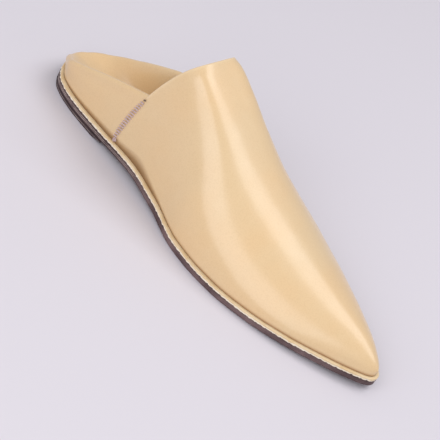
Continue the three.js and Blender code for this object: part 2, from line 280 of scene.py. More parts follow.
def make_piece(name, points, faces, material, node=None, values=None):
    """One closed object from points in millimetres, riding on the body, in place of its node."""
    points = np.asarray(points, float)
    if not np.isfinite(points).all():
        raise ValueError(f"{name} has points that are nowhere")
    points, quads, triangles, first = weld(points, faces)
    volume = enclosed_volume(points, quads) + enclosed_volume(points, triangles)
    if volume < 0:
        quads, triangles = quads[:, ::-1], triangles[:, ::-1]
    mesh = bpy.data.meshes.new(name)
    mesh.from_pydata(onto_frame(points).tolist(), [], quads.tolist() + triangles.tolist())
    mesh.polygons.foreach_set("use_smooth", np.ones(len(mesh.polygons), bool))
    for key, value in (values or {}).items():
        attribute = mesh.attributes.new(key, "FLOAT", "POINT")
        attribute.data.foreach_set("value", np.asarray(value, np.float32)[first])
    mesh.materials.append(material)
    mesh.update()
    piece = into_scene(name, mesh)
    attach(piece, "root")
    if node:
        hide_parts(node)
    print(
        f"{name}: {2 * len(quads) + len(triangles)} triangles, {abs(volume) / 1000:.2f} cm3,",
        f"{open_edges(quads, triangles)} open edges",
    )
    return piece

# %% [markdown]
# Several pieces follow the outline of the sole. Here it is one closed ring, walked from the heel
# along the little toe's side to the tip and back along the big toe's side, together with the
# level direction that points out of it. The stations lie evenly in the angle, so they are close
# at heel and toe, where the outline turns.

# %% The outline as a ring
FRONT_STEPS = 23


def sole_ring(steps, stop=None, inset=0):
    """Points (at, y) round the sole, or round its part before `stop` with a straight front."""
    outer_half, inner_half = outer_edge, inner_edge
    if inset:
        outer_half, inner_half = inset_outline(outer_edge, inset), inset_outline(inner_edge, inset)
    start, tip = inset, outline_end(inset) if inset else LENGTH
    last = math.pi if stop is None else math.acos(1 - 2 * (stop - start) / (tip - start))
    at = mix(start, tip, (1 - np.cos(np.linspace(0, last, steps + 1))) / 2)
    outer = np.column_stack([at, -outer_half(at)])
    inner = np.column_stack([at, inner_half(at)])[::-1]
    outer[0, 1] = inner[-1, 1] = 0
    if stop is None:
        outer[-1, 1] = 0
        return np.vstack([outer, inner[1:-1]])
    across = np.linspace(outer[-1, 1], inner[0, 1], FRONT_STEPS + 1)[1:-1]
    front = np.column_stack([np.full(len(across), float(stop)), across])
    return np.vstack([outer, front, inner[:-1]])


def ring_normals(ring):
    """The outward direction at each point: the chord between its neighbours, turned right.
    Where both neighbours lie in one place, at the tip of a narrow layer, it points forwards."""
    chord = np.roll(ring, -1, axis=0) - np.roll(ring, 1, axis=0)
    chord[np.linalg.norm(chord, axis=1) < NO_LENGTH] = [0, 1]
    chord = unit(chord)
    return np.column_stack([chord[:, 1], -chord[:, 0]])


def ring_run(ring):
    """Distance walked along the ring, in millimetres."""
    steps = np.linalg.norm(np.roll(ring, -1, axis=0) - ring, axis=1)
    return np.concatenate([[0], np.cumsum(steps)[:-1]])


print(f"outline {ring_run(sole_ring(360))[-1]:.0f} mm round")

# %% [markdown]
# Outsole, welt, heel lift and insole are all layers cut to that ring. A layer is the ring carried
# along an edge profile: over the top's rounded corner, down the cut edge and round the corner
# below. The two flat faces close it, each drawn in to the line down the middle. The cut edge of
# real leather isn't smooth, so each layer may wander a little along its edge.

# %% A layer of the sole
CORNER_STEPS = 4
SIDE_STEPS = 14
CAP_STEPS = 5


def edge_profile(corner):
    """Rows (distance in from the ring, share of the height, lift from there) down a cut edge."""
    turn = np.linspace(0, math.pi / 2, CORNER_STEPS + 1)
    inset = corner * (1 - np.sin(turn))
    drop = corner * (1 - np.cos(turn))
    share = np.linspace(1, 0, SIDE_STEPS + 1)[1:-1]
    over = np.column_stack([inset, np.ones_like(turn), -drop])
    side = np.column_stack([np.zeros_like(share), share, corner * (1 - 2 * share)])
    under = np.column_stack([inset[::-1], np.zeros_like(turn), drop[::-1]])
    return np.vstack([over, side, under])


def layer(name, node, ring, bottom, top, material, corner=0.4, wander=None):
    """ring x profile as a closed body; wander(run, share) moves the cut edge in and out."""
    normal = ring_normals(ring)
    run = ring_run(ring)
    profile = edge_profile(corner)
    inset, share, lift = (profile[:, k][:, None] for k in range(3))
    move = wander(run[None, :], share) if wander else np.zeros((len(profile), len(ring)))
    xy = ring[None] + normal[None] * (move - inset)[..., None]
    z = mix(bottom(xy[..., 0]), top(xy[..., 0]), share) + lift
    edge = np.dstack([xy, z])
    partner = np.roll(np.arange(len(ring))[::-1], 1)
    inwards = np.linspace(0, 1, CAP_STEPS + 1)[1:][:, None, None]

    def cap(rim, height):
        spine = (rim + rim[partner]) / 2
        flat = mix(rim[None, :, :2], spine[None, :, :2], inwards)
        return np.dstack([flat, height(flat[..., 0])])

    rows = np.vstack([cap(edge[0], top)[::-1], edge, cap(edge[-1], bottom)])
    height = np.pad(share[:, 0], CAP_STEPS, constant_values=(1, 0))
    face = np.pad(np.where(inset[:, 0] < corner / 2, 1.0, 0.0), CAP_STEPS)
    values = {
        "edge_height": np.repeat(height, len(ring)),
        "edge_face": np.repeat(face, len(ring)),
        "at": rows[..., 0].ravel(),
    }
    faces = grid_faces(*rows.shape[:2], close_columns=True)
    return make_piece(name, rows.reshape(-1, 3), faces, material, node, values)

# %% [markdown]
# Leather is one finish seen in several ways: the grain side of the upper, the cut edges of the
# welt, the dark dressed edge of the outsole and the thin sock inside. All of them start from a
# colour that drifts slowly over the hide, and the upper and the sock add a fine pebble of pores. A
# small kit of node helpers keeps each finish to a few lines.

# %% Node helpers
def srgb(red, green, blue):
    """An 8-bit screen colour as the linear colour that a shader takes."""
    screen = np.array([red, green, blue]) / 255
    linear = np.where(screen <= 0.04045, screen / 12.92, ((screen + 0.055) / 1.055) ** 2.4)
    return (*linear.tolist(), 1.0)


class Finish:
    """A material under construction: nodes are added by kind and joined by value."""

    def __init__(self, name, roughness, specular=0.5, **sockets):
        self.material = bpy.data.materials.new(name)
        self.material.use_nodes = True
        self.nodes = self.material.node_tree.nodes
        self.links = self.material.node_tree.links
        self.shader = self.nodes["Principled BSDF"]
        self.shader.inputs["Roughness"].default_value = roughness
        self.shader.inputs["Specular IOR Level"].default_value = specular
        for socket, value in sockets.items():
            self.shader.inputs[socket.replace("_", " ")].default_value = value
        self.place = self.nodes.new("ShaderNodeTexCoord").outputs["Object"]

    def put(self, value, socket):
        """A link where value is a socket, and a fixed value where it is a number or colour."""
        if isinstance(value, bpy.types.NodeSocket):
            self.links.new(value, socket)
        else:
            socket.default_value = value

    def noise(self, size_mm, detail=2.0, roughness=0.5, stretch=None):
        """Cloudy noise from 0 to 1, with features of about size_mm, longer along `stretch`."""
        place = self.place
        if stretch:
            mapping = self.nodes.new("ShaderNodeMapping")
            mapping.inputs["Scale"].default_value = stretch
            self.links.new(place, mapping.inputs["Vector"])
            place = mapping.outputs["Vector"]
        node = self.nodes.new("ShaderNodeTexNoise")
        self.links.new(place, node.inputs["Vector"])
        node.inputs["Scale"].default_value = 1 / (size_mm * MM)
        node.inputs["Detail"].default_value = detail
        node.inputs["Roughness"].default_value = roughness
        return node.outputs["Fac"]

    def pores(self, size_mm):
        """Rounded cells of about size_mm: the distance to the nearest cell's middle."""
        node = self.nodes.new("ShaderNodeTexVoronoi")
        node.feature = "SMOOTH_F1"
        self.links.new(self.place, node.inputs["Vector"])
        node.inputs["Scale"].default_value = 1 / (size_mm * MM)
        node.inputs["Smoothness"].default_value = 0.4
        return node.outputs["Distance"]

    def value_of(self, attribute):
        node = self.nodes.new("ShaderNodeAttribute")
        node.attribute_name = attribute
        return node.outputs["Fac"]

    def math(self, operation, a, b=0.0):
        node = self.nodes.new("ShaderNodeMath")
        node.operation = operation
        self.put(a, node.inputs[0])
        self.put(b, node.inputs[1])
        return node.outputs[0]

    def ramp(self, value, start, end, low=0.0, high=1.0):
        """Value from start..end carried smoothly to low..high."""
        node = self.nodes.new("ShaderNodeMapRange")
        node.interpolation_type = "SMOOTHSTEP"
        self.put(value, node.inputs["Value"])
        limits = {"From Min": start, "From Max": end, "To Min": low, "To Max": high}
        for socket, number in limits.items():
            node.inputs[socket].default_value = number
        return node.outputs["Result"]

    def times(self, a, b):
        return self.math("MULTIPLY", a, b)

    def blend(self, share, below, above):
        """The colour below, with a share of the colour above laid over it."""
        node = self.nodes.new("ShaderNodeMix")
        node.data_type = "RGBA"
        self.put(share, node.inputs["Factor"])
        self.put(below, node.inputs["A"])
        self.put(above, node.inputs["B"])
        return node.outputs["Result"]

    def bump(self, height, depth_mm, strength=1.0, under=None):
        node = self.nodes.new("ShaderNodeBump")
        node.inputs["Strength"].default_value = strength
        node.inputs["Distance"].default_value = depth_mm * MM
        self.put(height, node.inputs["Height"])
        if under:
            self.links.new(under, node.inputs["Normal"])
        return node.outputs["Normal"]

    def done(self, colour, normal=None, roughness=None):
        self.put(colour, self.shader.inputs["Base Color"])
        if normal:
            self.links.new(normal, self.shader.inputs["Normal"])
        if roughness:
            self.links.new(roughness, self.shader.inputs["Roughness"])
        print(f"finish {self.material.name}: {len(self.nodes)} nodes")
        return self.material

# %% [markdown]
# The upper is smooth vegetable-tanned leather, a pale honey tan. Its grain is so fine that it
# only breaks up the gloss of the dressing on it. The colour drifts a little warmer and cooler in
# clouds a few centimetres wide. Shade is painted into the colour along the line where it meets
# the welt and in the valley of the side seam, and it is lighter on the cut edge of the collar.
# The back of the leather, which shows only inside, is rougher and has a short nap.

# %% Upper leather
TAN = srgb(222, 192, 148)
TAN_WARM = srgb(224, 190, 143)
TAN_LIGHT = srgb(229, 201, 160)
# A darker tan for the pores, and for the painted shade along the welt and in the seam's valley.
TAN_PORES_AND_SHADE = srgb(150, 104, 60)
CUT_EDGE = srgb(240, 216, 176)
FLESH = srgb(226, 193, 148)
FLESH_DEEP = srgb(208, 171, 124)
# Painted shade along the welt's line and in the seam's valley, and the paler colour of the cut edge
# on the collar's lip.
UPPER_SHADES_AND_EDGE_TINT = (("feather_shade", 0.9, TAN_PORES_AND_SHADE), ("valley", 0.15, TAN_PORES_AND_SHADE), ("lip", 0.45, CUT_EDGE))


def upper_leather():
    finish = Finish("upper_leather", 0.42, 0.5, Coat_Weight=0.6, Coat_Roughness=0.2)
    cloud = finish.noise(46, 3, 0.55)
    mottle = finish.noise(7, 4, 0.6)
    colour = finish.blend(finish.ramp(cloud, 0.35, 0.68), TAN, TAN_WARM)
    colour = finish.blend(finish.ramp(mottle, 0.4, 0.75, 0, 0.15), colour, TAN_LIGHT)
    pores = finish.pores(0.75)
    colour = finish.blend(finish.ramp(pores, 0.35, 0.8, 0, 0.06), colour, TAN_PORES_AND_SHADE)
    # Lays the painted shade and the cut edge's paler colour over the leather.
    for mark, most, shade_or_cut_edge_colour in UPPER_SHADES_AND_EDGE_TINT:
        colour = finish.blend(finish.times(finish.value_of(mark), most), colour, shade_or_cut_edge_colour)
    nap = finish.blend(finish.ramp(finish.noise(1.1, 3, 0.7), 0.3, 0.75), FLESH, FLESH_DEEP)
    flesh = finish.value_of("flesh")
    colour = finish.blend(flesh, colour, nap)
    rub = finish.ramp(finish.noise(18, 3, 0.6), 0.3, 0.75, 0.34, 0.46)
    rough = finish.math("MAXIMUM", rub, finish.times(flesh, 0.85))
    grain = finish.bump(pores, 0.03, 0.4)
    grain = finish.bump(finish.noise(0.32, 3, 0.6), 0.012, 0.4, grain)
    grain = finish.bump(finish.noise(9, 2, 0.5), 0.08, 0.3, grain)
    return finish.done(colour, grain, rough)


UPPER_LEATHER = upper_leather()

# %% [markdown]
# The welt is undyed sole leather. Its top is trimmed smooth, and its cut edge is open: fibres
# stand out of it, palest at the bottom, where the knife left the edge rough. The outsole and the
# heel lift are dressed in a dark mauve brown, darkest at the heel, where the layers show as thin
# paler lines.

# %% Sole leathers
WELT_PALE = srgb(231, 208, 170)
WELT_WARM = srgb(222, 192, 146)
WELT_FIBRE = srgb(243, 233, 218)
WELT_DIRT = srgb(176, 148, 116)
SOLE_DEEP = srgb(80, 60, 61)
SOLE_WORN = srgb(122, 98, 98)
LIFT_DEEP = srgb(62, 46, 48)
LIFT_WORN = srgb(90, 70, 73)
HEEL_DEEP = srgb(46, 34, 35)
LAYER_LINE = srgb(196, 178, 170)
SOLE_SCUFF = srgb(128, 104, 98)
SOCK = srgb(222, 188, 140)
SOCK_WARM = srgb(212, 174, 124)
OUTSOLE_LINES = (0.36, 0.72)
LIFT_LINES = (0.5,)


def welt_leather():
    finish = Finish("welt_leather", 0.72, 0.3)
    height = finish.value_of("edge_height")
    face = finish.value_of("edge_face")
    cloud = finish.noise(9, 4, 0.6)
    colour = finish.blend(finish.ramp(cloud, 0.35, 0.7), WELT_PALE, WELT_WARM)
    fibres = finish.noise(1.3, 4, 0.7, stretch=(0.35, 0.35, 1.6))
    ragged = finish.math("ADD", height, finish.ramp(finish.noise(2.6, 3, 0.6), 0.3, 0.7, -0.22, 0.22))
    rough_part = finish.times(finish.ramp(ragged, 0.62, 0.30), face)
    colour = finish.blend(finish.times(rough_part, 0.8), colour, WELT_FIBRE)
    colour = finish.blend(finish.ramp(fibres, 0.56, 0.78, 0, 0.4), colour, WELT_DIRT)
    normal = finish.bump(fibres, 0.22, 0.8)
    return finish.done(colour, normal)


def dark_sole_leather(name, deep, worn, layers):
    """Dark dressed leather. Its edge shows a pale line at each of `layers`, mostly at the heel."""
    finish = Finish(name, 0.55, 0.4)
    height = finish.value_of("edge_height")
    face = finish.value_of("edge_face")
    at = finish.value_of("at")
    cloud = finish.noise(12, 4, 0.65, stretch=(0.5, 0.5, 1))
    colour = finish.blend(finish.ramp(cloud, 0.35, 0.7), deep, worn)
    colour = finish.blend(finish.ramp(at, 110, 45, 0, 0.55), colour, HEEL_DEEP)
    wander = finish.ramp(finish.noise(7, 2, 0.5), 0.2, 0.8, -0.05, 0.05)
    for level in layers:
        above = finish.math("SUBTRACT", finish.math("ADD", height, wander), level)
        line = finish.ramp(finish.math("ABSOLUTE", above), 0.08, 0.03)
        line = finish.times(line, finish.ramp(at, 118, 70, 0.10, 0.95))
        line = finish.times(line, finish.ramp(finish.noise(5, 3, 0.7), 0.32, 0.55, 0.35, 1))
        colour = finish.blend(finish.times(line, face), colour, LAYER_LINE)
    scuff = finish.ramp(finish.noise(2.2, 5, 0.75, stretch=(0.4, 1, 1)), 0.6, 0.8, 0, 0.35)
    colour = finish.blend(scuff, colour, SOLE_SCUFF)
    normal = finish.bump(finish.noise(0.9, 4, 0.7, stretch=(0.4, 0.4, 1.5)), 0.12, 0.7)
    return finish.done(colour, normal)


def sock_leather():
    finish = Finish("sock_leather", 0.6, 0.35)
    colour = finish.blend(finish.ramp(finish.noise(20, 3, 0.6), 0.35, 0.7), SOCK, SOCK_WARM)
    pores = finish.pores(0.8)
    colour = finish.blend(finish.ramp(pores, 0.35, 0.8, 0, 0.15), colour, TAN_PORES_AND_SHADE)
    return finish.done(colour, finish.bump(pores, 0.06, 0.7))


WELT_LEATHER = welt_leather()
OUTSOLE_LEATHER = dark_sole_leather("outsole_leather", SOLE_DEEP, SOLE_WORN, OUTSOLE_LINES)
LIFT_LEATHER = dark_sole_leather("lift_leather", LIFT_DEEP, LIFT_WORN, LIFT_LINES)
SOCK_LEATHER = sock_leather()

# %% [markdown]
# Now the four flat layers can be cut. The outsole's edge is dressed and nearly true, with a
# shallow groove at each layer line. The welt's edge is left as the knife made it, so it wanders
# most at the bottom. The lift stands on the floor and slants up to the outsole at its front.

# %% Outsole, welt, heel lift and insole
RING_STEPS = 420
LIFT_STEPS = 130
GROOVE = 0.12
GROOVE_WIDTH = 0.06
FRAY = 0.30
LIFT_FRONT_SHARE = 0.8


def ripple(run, share, waves):
    """A sum of sines (length in mm, size in mm, slant) along the cut edge."""
    return sum(
        size * np.sin(2 * math.pi * run / length + slant * share + 1.7 * k)
        for k, (length, size, slant) in enumerate(waves)
    )


def dressed_edge(levels):
    """Long low waves, and a shallow groove at each of the levels."""

    def wander(run, share):
        grooves = sum(bell(share, level, GROOVE_WIDTH) for level in levels)
        return ripple(run, share, ((37, 0.05, 1), (11.3, 0.03, 2))) - GROOVE * grooves

    return wander


def open_edge(run, share):
    """The welt's cut edge: longer waves all over, and short ones that grow to the bottom."""
    rough = (1 - share) ** 1.5
    fine = ripple(run, share, ((3.1, 0.5, 2), (1.9, 0.35, 3), (4.7, 0.4, 1)))
    return ripple(run, share, ((29, 0.08, 0.5), (8.3, 0.05, 1))) + FRAY * rough * fine


def lift_bottom(at):
    """The floor, and over the last millimetres a slant up towards the outsole."""
    slant = np.clip((at - (LIFT_FRONT - LIFT_SLOPE)) / LIFT_SLOPE, 0, 1)
    return LIFT_FRONT_SHARE * (underside(at) - GAP) * slant


def outsole_top(at):
    return underside(at) + OUTSOLE


def lift_top(at):
    return underside(at) - GAP


full_ring = sole_ring(RING_STEPS)
lift_ring = sole_ring(LIFT_STEPS, stop=LIFT_FRONT)
sock_ring = sole_ring(RING_STEPS // 2, inset=LEDGE + WALL + 2 * GAP)
layer(
    "outsole_leather_layer", "outsole", full_ring, underside, outsole_top, OUTSOLE_LEATHER,
    wander=dressed_edge(OUTSOLE_LINES),
)
layer(
    "welt_strip", "welt", full_ring, lambda at: outsole_top(at) + GAP, welt_top, WELT_LEATHER,
    corner=0.3, wander=open_edge,
)
layer(
    "heel_lift_layer", "heel_lift", lift_ring, lift_bottom, lift_top, LIFT_LEATHER,
    corner=0.2, wander=dressed_edge(LIFT_LINES),
)
layer(
    "insole_sock", "insole", sock_ring, upper_seat, lambda at: upper_seat(at) + INSOLE,
    SOCK_LEATHER, corner=0.3,
)

# %% [markdown]
# The upper is the slipper's main form. Over the foot it is a row of arches, each a rounded
# triangle or a half ellipse with its own fullness, from the foot on one side over the ridge to
# the other. Behind the side seams the wall falls to the heel, bends over in a soft fold and runs
# down inside as a flap. Everything is worked out for whole grids of points at once.

# %% The arches of the vamp
def arch_point(at, turn):
    """(at, y, z) of the vamp: side = |cos|^p, climb = sin^p, p = 2 / fullness, turn in degrees."""
    at, turn = np.broadcast_arrays(np.asarray(at, float), np.asarray(turn, float))
    angle = np.radians(turn)
    power = 2 / roundness(at)
    side = np.abs(np.cos(angle)) ** power
    climb = np.maximum(0, np.sin(angle)) ** power
    half = np.where(turn < 90, -outer_foot(at), inner_foot(at))
    seat = upper_seat(at)
    across = half * side * (1 - taper(at) * climb) + ridge_lean(at) * climb
    return np.stack([at, across, seat + (ridge(at) - seat) * climb], axis=-1)


SEAM_POWER = roundness(SEAM_TOP) / 2
SEAM_SINE = (SEAM_RISE / (ridge(SEAM_TOP) - upper_seat(SEAM_TOP))) ** SEAM_POWER
SEAM_TURN = math.degrees(math.asin(SEAM_SINE))
COLLAR_EASE = 0.62


def vamp_start(turn):
    """Where the vamp begins: at the side seam, and above its top along the collar."""
    from_foot = np.minimum(turn, 180 - np.asarray(turn, float))
    part = np.clip((from_foot - SEAM_TURN) / (90 - SEAM_TURN), 0, 1)
    seam = mix(SEAM_FOOT, SEAM_TOP, np.clip(from_foot / SEAM_TURN, 0, 1))
    collar = mix(SEAM_TOP, COLLAR_TOP, ease(0, 1, part**COLLAR_EASE))
    return np.where(from_foot <= SEAM_TURN, seam, collar)


def seam_turn(share):
    """The turn at a share of the seam's height: climb = sin^p runs evenly with the share."""
    return np.degrees(np.arcsin(SEAM_SINE * np.asarray(share, float) ** SEAM_POWER))


def seam_share(turn):
    """The other way round: the share of the seam's height at a turn."""
    return (np.sin(np.radians(np.clip(turn, 0, 90))) / SEAM_SINE) ** (1 / SEAM_POWER)


print(f"the side seam's top lies {SEAM_TURN:.1f} degrees up the arch")

# %% [markdown]
# The back wall copies the lean of the seam and trades it, towards the heel, for a soft bulge of
# its own. Each of its columns ends in the fold: an arc of the fold's radius, which turns a
# little over a right angle at the heel, where the flap lies back along the insole, and nearly
# all the way round at the seams. A Hermite curve, whose ends have given directions, carries
# the flap from there to its free edge.

# %% The folded back
FOLD_TURN_HEEL = 95
FOLD_TURN_SIDE = 150
FLAP_LEAVE = 0.9
FLAP_ARRIVE = 0.6
FLAP_DROP = 0.8
FOLD_ROWS = 12
FLAP_ROWS = 30
PROBE = 0.08


def back_station(around):
    """Distance from the heel: level at the heel, and evenly down the sides to the seams."""
    return mix(LEDGE, SEAM_FOOT, 1 - np.cos(math.pi / 2 * np.abs(around)))


def back_foot(around):
    """(at, y) where the wall stands on the welt: on the outline, drawn in by the ledge."""
    at = back_station(around)
    half = np.where(around < 0, -outer_foot(at), inner_foot(at))
    return np.stack([at, np.where(np.abs(around) < 1e-6, 0, half)], axis=-1)


def outwards(around):
    """The level way out of the heel, turned square to the side at the seams."""
    along = back_foot(np.minimum(1, around + PROBE)) - back_foot(np.maximum(-1, around - PROBE))
    normal = unit(np.stack([-along[..., 1], along[..., 0]], axis=-1))
    square = np.stack([np.zeros_like(around), np.sign(around)], axis=-1)
    return unit(mix(normal, square, ease(0.6, 1, np.abs(around))[..., None]))


def fold_top(around):
    """Height of the fold over the seat: a power of the way along, fuller on the inner side."""
    along = (back_station(around) - LEDGE) / (SEAM_FOOT - LEDGE)
    curve = np.where(around < 0, FOLD_CURVE_OUTER, FOLD_CURVE_INNER)
    even = mix(FOLD_BACK, FOLD_SIDE, along**curve)
    return even + FOLD_SWELL * ease(0.3, 0.8, around) * (1 - ease(0.85, 1, around))


def wall_point(around, turn):
    """The wall behind the seam: foot + way out x (bulge - lean), climbing to the fold."""
    around, turn = np.broadcast_arrays(np.asarray(around, float), np.asarray(turn, float))
    far = np.abs(around)
    start = vamp_start(turn)
    climb = arch_point(start, turn) - arch_point(start, 0)
    part = climb[..., 2] / SEAM_RISE
    bulge = FOLD_BULGE * (1 - ease(0.35, 0.8, far)) * np.sin(math.pi / 2 * turn / SEAM_TURN)
    offset = bulge - climb[..., 1] * ease(0.2, 1, far)
    slant = (start - SEAM_FOOT) * far**4
    foot, out = back_foot(around), outwards(around)
    height = upper_seat(foot[..., 0] + slant) + (fold_top(around) - FOLD_RADIUS) * part
    level = foot + out * offset[..., None]
    return np.stack([level[..., 0] + slant, level[..., 1], height], axis=-1)


def flap_edge(around):
    """The flap's free edge: low across the insole, climbing to the seams on both sides."""
    far = np.abs(around)
    at = mix(FLAP_REACH, FLAP_END, far**1.5)
    climb = INSOLE + GAP + WALL + FLAP_RISE * ease(0.35, 1.15, far) ** 1.3
    half = np.where(around < 0, outer_foot(at), inner_foot(at)) - (FLAP_INSET + FLAP_LEAN * far**2)
    across = np.sign(around) * half * np.sin(math.pi / 2 * far)
    return np.stack([at, across, upper_seat(at) + climb], axis=-1)


def folded_rows(around, wall_top):
    """Rows over the fold (an arc) and down the flap (a Hermite curve) for each column."""
    out = outwards(around)
    inward = np.column_stack([-out, np.zeros(len(around))])
    up = np.array([0.0, 0.0, 1.0])
    far = np.abs(around)
    bend = np.radians(mix(FOLD_TURN_HEEL, FOLD_TURN_SIDE, ease(0, 0.8, far)))
    turned = bend[:, None] * np.linspace(0, 1, FOLD_ROWS + 1)[1:]
    arc = wall_top[:, None] + FOLD_RADIUS * (
        (1 - np.cos(turned))[..., None] * inward[:, None] + np.sin(turned)[..., None] * up
    )
    start, end = arc[:, -1], flap_edge(around)
    reach = np.linalg.norm(end - start, axis=1)[:, None]
    leave = FLAP_LEAVE * reach * (np.sin(bend)[:, None] * inward + np.cos(bend)[:, None] * up)
    level = unit((end - start) * [1, 1, 0])
    arrive = FLAP_ARRIVE * reach * unit(level - FLAP_DROP * ease(0.5, 1, far)[:, None] * up)
    t = np.linspace(0, 1, FLAP_ROWS + 1)[1:][None, :, None]
    flap = hermite(t, start[:, None], leave[:, None], end[:, None], arrive[:, None])
    return np.concatenate([arc, flap], axis=1)

# %% [markdown]
# Soft relief makes a surface look like leather that was pulled over a last by hand. Each mark is
# placed in the slipper's own sizes: the valley of the seam and the lips beside it, a row of
# shallow dimples on both, the two soft shoulders with a shallow dip between them behind the
# collar, the gathers where the fold goes round the heel, and the low pleats at the toe. A mark is
# a bell curve across and fades out along its length, and all of them are less than a millimetre.

# %% Soft relief
STITCHES = 16
STITCH_REACH = 2.3
VALLEY_DEPTH = 0.40
VALLEY_WIDTH = 1.1
LIP_HEIGHT = 0.16
LIP_ASIDE = 3.6
LIP_WIDTH = 1.5
PUCKER = 0.12
PUCKER_WIDTH = 0.8


def seam_relief(cross, share):
    """Across the seam: a valley, and on each side a lip and a row of evenly spaced dimples."""
    along = ease(-0.02, 0.06, share) * (1 - ease(0.97, 1.04, share))
    pull = 0.5 + 0.5 * np.cos(2 * math.pi * STITCHES * share)
    aside = np.abs(cross)
    lips = LIP_HEIGHT * bell(aside, LIP_ASIDE, LIP_WIDTH)
    dimples = PUCKER * pull * bell(aside, STITCH_REACH, PUCKER_WIDTH)
    return along * (lips - dimples - VALLEY_DEPTH * bell(cross, 0, VALLEY_WIDTH))


# at and turn give a mark's middle on the vamp, long and wide its reach in millimetres and in
# degrees, swing how many degrees it turns for each millimetre it runs on, and rise its height.
VAMP_MARKS = {
    "at": (90, 96, 92, 118, 80, 80, 150, 205, 236, 246, 254, 250),
    "turn": (86, 62, 112, 30, 33, 147, 24, 30, 150, 14, 18, 166),
    "long": (62, 50, 48, 22, 9, 9, 30, 26, 14, 7, 5, 6),
    "wide": (12, 9, 9, 14, 5, 5, 12, 10, 12, 9, 10, 10),
    "swing": (0.02, -0.04, 0.04, 0.25, 0.9, -0.9, 0, 0.1, 0, 1.2, 1.6, -1.4),
    "rise": (-0.75, 0.45, 0.4, -0.35, -0.35, -0.35, 0.3, -0.25, -0.2, -0.16, -0.16, -0.16),
}


def vamp_relief(at, turn):
    """All marks on the vamp, and the seam's relief where the vamp begins."""
    total = np.zeros(np.broadcast(at, turn).shape)
    for station, lies, long, wide, swing, rise in zip(*VAMP_MARKS.values()):
        middle = lies + swing * (at - station)
        total = total + rise * bell(at, station, long) * bell(turn, middle, wide)
    from_foot = np.minimum(turn, 180 - turn)
    quiet = ease(0, 12, from_foot) * (1 - ease(LENGTH - 14, LENGTH - 4, at))
    seam = seam_relief(at - vamp_start(turn), seam_share(from_foot))
    return total * quiet * ease(0, 7, at - vamp_start(turn)) + seam


# around gives a gather's middle on the fold, wide its reach, and rise its height.
GATHERS = {
    "around": (-0.52, -0.30, -0.08, 0.14, 0.36, 0.58),
    "wide": (0.045, 0.05, 0.045, 0.05, 0.05, 0.045),
    "rise": (-0.30, -0.42, -0.40, -0.45, -0.38, -0.28),
}


def back_relief(around, share):
    """Gathers over the fold, a soft roll under it, and the seam's relief. share: 1 at the fold."""
    gathered = sum(rise * bell(around, lies, wide) for lies, wide, rise in zip(*GATHERS.values()))
    over_fold = ease(0.5, 1.05, share) * (1 - ease(1.2, 2.1, share))
    roll = -0.30 * bell(share, 0.74, 0.2) * ease(0.25, 0.7, np.abs(around))
    quiet = 1 - ease(0.88, 0.97, np.abs(around))
    cross = back_station(around) - SEAM_FOOT
    return (gathered * over_fold + roll) * quiet + seam_relief(cross, share)

# %% [markdown]
# The outer face of the upper is two grids that share the side seams. The face is closed into one
# body of leather: the same face again, a wall further in, a flat rim along the welt and a rounded
# rim round the mouth, where the cut edge of the leather shows. The way out of a point is the mean
# of its faces' normals, each weighed by its angle there.

# %% The upper
SEAM_ROWS = 36
ARCH_ROWS = 44
EDGE_COLUMNS = 12
VAMP_COLUMNS = 148
EDGE_SHARE = 0.03
TOE_CROWDING = 0.93
BACK_COLUMNS = 62
SEAM_COLUMNS = 12
SEAM_SHARE = 0.94
RIM_ROWS = 6
RIM_STAND = 0.42
DRAWN_IN = 1e-3
# Width in millimetres of the painted shade in the seam's valley.
VALLEY_SHADE_WIDTH = 1.2
# Width in millimetres of the painted shade along the welt.
FEATHER_SHADE_WIDTH = 1.1
LIP = 0.8
FLAP_LENGTH = 40
NOWHERE_NEAR = 99

# Rows of the back: 0 to 1 up the wall, 1 to 2 over the fold, 2 to 3 down the flap.
WALL_SHARE = np.concatenate([
    np.linspace(0, 1, SEAM_ROWS + 1),
    1 + np.linspace(0, 1, FOLD_ROWS + 1)[1:],
    2 + np.linspace(0, 1, FLAP_ROWS + 1)[1:],
])


def vamp_turns():
    """Degrees over the arch: evenly up to the seam's top, evenly from there to the ridge."""
    low = np.linspace(0, SEAM_TURN, SEAM_ROWS + 1)
    high = np.linspace(SEAM_TURN, 90, ARCH_ROWS + 1)[1:]
    half = np.concatenate([low, high])
    return np.concatenate([half, 180 - half[-2::-1]])


def vamp_grid(turns):
    """Rows up the arch and columns to the toe: close together at the collar and at the tip."""
    t = np.linspace(0, 1, VAMP_COLUMNS + 1)
    body = mix(EDGE_SHARE, 1, mix(t, np.sin(math.pi / 2 * t), TOE_CROWDING))
    shares = np.concatenate([np.linspace(0, EDGE_SHARE, EDGE_COLUMNS + 1)[:-1], body])
    tip = outline_end(LEDGE)
    at = mix(vamp_start(turns)[:, None], tip, shares[None])
    points = arch_point(at, turns[:, None])
    points[:, -1] = [tip, 0, upper_seat(tip)]
    return points, at


def back_columns():
    """Shares of the way round. The one next to the heel's middle is left out: the outline is
    flat there, and the flap's columns would cross on their way in."""
    t = np.concatenate([
        np.linspace(0, SEAM_SHARE, BACK_COLUMNS + 1)[:-1],
        np.linspace(SEAM_SHARE, 1, SEAM_COLUMNS + 1),
    ])
    t = np.delete(t, 1)
    return np.concatenate([-t[:0:-1], t])


def back_grid(turns, around):
    """Columns round the heel, each up the wall, over the fold and down the flap."""
    wall = wall_point(around[:, None], turns[None])
    wall[0] = arch_point(vamp_start(turns), turns)
    wall[-1] = arch_point(vamp_start(turns), 180 - turns)
    return np.concatenate([wall, folded_rows(around, wall[:, -1])], axis=1)


